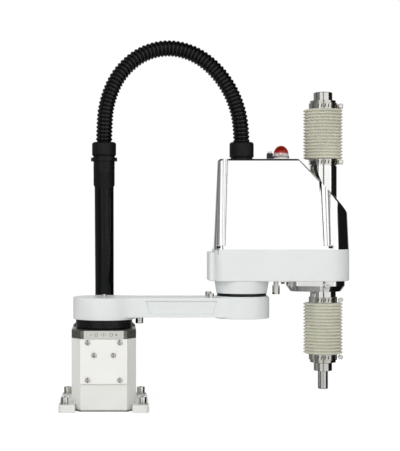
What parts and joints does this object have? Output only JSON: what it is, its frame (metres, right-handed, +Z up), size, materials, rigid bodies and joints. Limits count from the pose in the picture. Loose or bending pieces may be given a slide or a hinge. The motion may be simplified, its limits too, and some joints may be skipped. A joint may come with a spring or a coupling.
{
  "type": "scara robot",
  "caption": "Two-arm SCARA robot with a plated hood, bellows above and below its sliding and turning shaft, and a corrugated hose arched from base to hood.",
  "frame": {"origin": "on the first joint's axis, in the mounting face, at the centre of the four base bolt holes", "axes": "+Z up along the joint axes, +X along both arms as pictured, -Y towards the base's front cover"},
  "size_m": [0.4615, 0.1815, 0.5856],
  "materials": {
    "white_paint": "satin light grey-white paint",
    "cover_paint": "satin off-white paint",
    "black_steel": "black oxide",
    "machined_flange": "machined grey",
    "plain_plate": "brushed light grey",
    "steel": "bright steel",
    "plating": "mirror plating",
    "motor_black": "black anodised",
    "bracket": "machined",
    "black_plastic": "satin black",
    "hose_plastic": "ribbed satin black",
    "bellows_rubber": "soft grey-beige, slightly see-through",
    "gasket_rubber": "matt black",
    "lens_red": "clear red-orange",
    "white_plastic": "glossy white",
    "fitting_plastic": "dark glossy plastic",
    "belt_rubber": "matt black"
  },
  "bodies": {
    "base": {"base_casting": "white_paint", "bottom_plate": "black_steel", "front_cover": "cover_paint", "front_cover_gasket": "gasket_rubber", "base_screws": "steel", "scale_plate": "plain_plate", "j1_flange": "machined_flange", "j1_flange_bolts": "steel", "j1_bearing_housing": "black_steel", "j1_motor": "motor_black", "j1_circular_spline": "steel", "rear_panel": "plain_plate", "user_connector": "fitting_plastic", "air_fittings": "fitting_plastic", "cable_gland": "black_plastic", "pipe_socket": "black_plastic", "duct_pipe": "black_plastic", "pipe_adapter": "black_plastic", "lower_hose_nut": "black_plastic"},
    "j1_generator": {"j1_wave_generator": "steel"},
    "arm1": {"arm1_casting": "white_paint", "j1_hub": "steel", "arm1_top_bolts": "steel", "j1_stop_pin": "black_steel", "j2_seal_ring": "black_steel", "j2_bearing": "steel", "j2_circular_spline": "steel", "guide_hose": "hose_plastic"},
    "j2_generator": {"j2_wave_generator": "steel"},
    "arm2": {"arm2_casting": "white_paint", "j2_hub": "steel", "j2_stop_pin": "steel", "j2_motor": "motor_black", "hood": "plating", "arm2_screws": "black_steel", "lower_cover": "plating", "lower_sleeve": "plating", "upper_tube": "plating", "upper_bellows": "bellows_rubber", "lower_bellows": "bellows_rubber", "fixed_clamps": "steel", "upper_hose_nut": "black_plastic", "lamp_base": "white_plastic", "lamp_lens": "lens_red", "brake_switch": "black_plastic", "upper_bracket": "bracket", "u_motor_bracket": "bracket", "z_motor": "motor_black", "u_motor": "motor_black", "drive_belts": "belt_rubber", "nut_bearings": "steel"},
    "brake_button_body": {"brake_button": "fitting_plastic"},
    "z_motor_wheel": {"z_motor_pulley": "bracket"},
    "z_nut": {"screw_nut": "steel"},
    "u_motor_wheel": {"u_motor_pulley": "bracket"},
    "u_nut": {"spline_nut": "steel"},
    "quill": {"bearing_cases": "black_steel", "moving_clamps": "steel"},
    "shaft_body": {"shaft": "steel", "stop_collars": "steel"}
  },
  "joints": [
    {"name": "j1_swing", "type": "hinge", "parent": "base", "child": "arm1", "pos_m": [0, 0, 0.14], "axis": [0, 0, 1], "range_deg": [-230, 50]},
    {"name": "j2_swing", "type": "hinge", "parent": "arm1", "child": "arm2", "pos_m": [0.22, 0, 0.18], "axis": [0, 0, 1], "range_deg": [-142, 142]},
    {"name": "j3_slide", "type": "slide", "parent": "arm2", "child": "quill", "axis": [0, 0, 1], "range_m": [-0.06, 0.06], "deforming": ["upper_bellows", "lower_bellows"]},
    {"name": "j4_turn", "type": "hinge", "parent": "quill", "child": "shaft_body", "pos_m": [0.35, 0, 0.04], "axis": [0, 0, 1], "range_deg": [-360, 360]},
    {"name": "brake_push", "type": "slide", "parent": "arm2", "child": "brake_button_body", "axis": [0, 0, 1], "range_m": [-0.0015, 0], "stiffness_N_per_m": 800, "springref_m": 0.001},
    {"name": "j1_generator_turn", "type": "hinge", "parent": "base", "child": "j1_generator", "pos_m": [0, 0, 0.11], "axis": [0, 0, 1], "range_deg": [-4010, 18410]},
    {"name": "j2_generator_turn", "type": "hinge", "parent": "arm2", "child": "j2_generator", "pos_m": [0.22, 0, 0.16], "axis": [0, 0, 1], "range_deg": [-7110, 7110]},
    {"name": "z_nut_turn", "type": "hinge", "parent": "arm2", "child": "z_nut", "pos_m": [0.35, 0, 0.3], "axis": [0, 0, 1], "range_deg": [-1360, 1360]},
    {"name": "z_motor_turn", "type": "hinge", "parent": "arm2", "child": "z_motor_wheel", "pos_m": [0.268, 0.02, 0.3], "axis": [0, 0, 1], "range_deg": [-2720, 2720]},
    {"name": "u_nut_turn", "type": "hinge", "parent": "arm2", "child": "u_nut", "pos_m": [0.35, 0, 0.22], "axis": [0, 0, 1], "range_deg": [-370, 370]},
    {"name": "u_motor_turn", "type": "hinge", "parent": "arm2", "child": "u_motor_wheel", "pos_m": [0.268, -0.02, 0.24], "axis": [0, 0, 1], "range_deg": [-730, 730]}
  ],
  "couplings": [
    {"joint": "j1_generator_turn", "follows": "j1_swing", "ratio": -80},
    {"joint": "j2_generator_turn", "follows": "j2_swing", "ratio": -50},
    {"joint": "z_nut_turn", "follows": "j3_slide", "rad_per_m": 392.7},
    {"joint": "z_motor_turn", "follows": "j3_slide", "rad_per_m": 785.4},
    {"joint": "u_nut_turn", "follows": "j4_turn", "ratio": 1},
    {"joint": "u_motor_turn", "follows": "j4_turn", "ratio": 2}
  ]
}
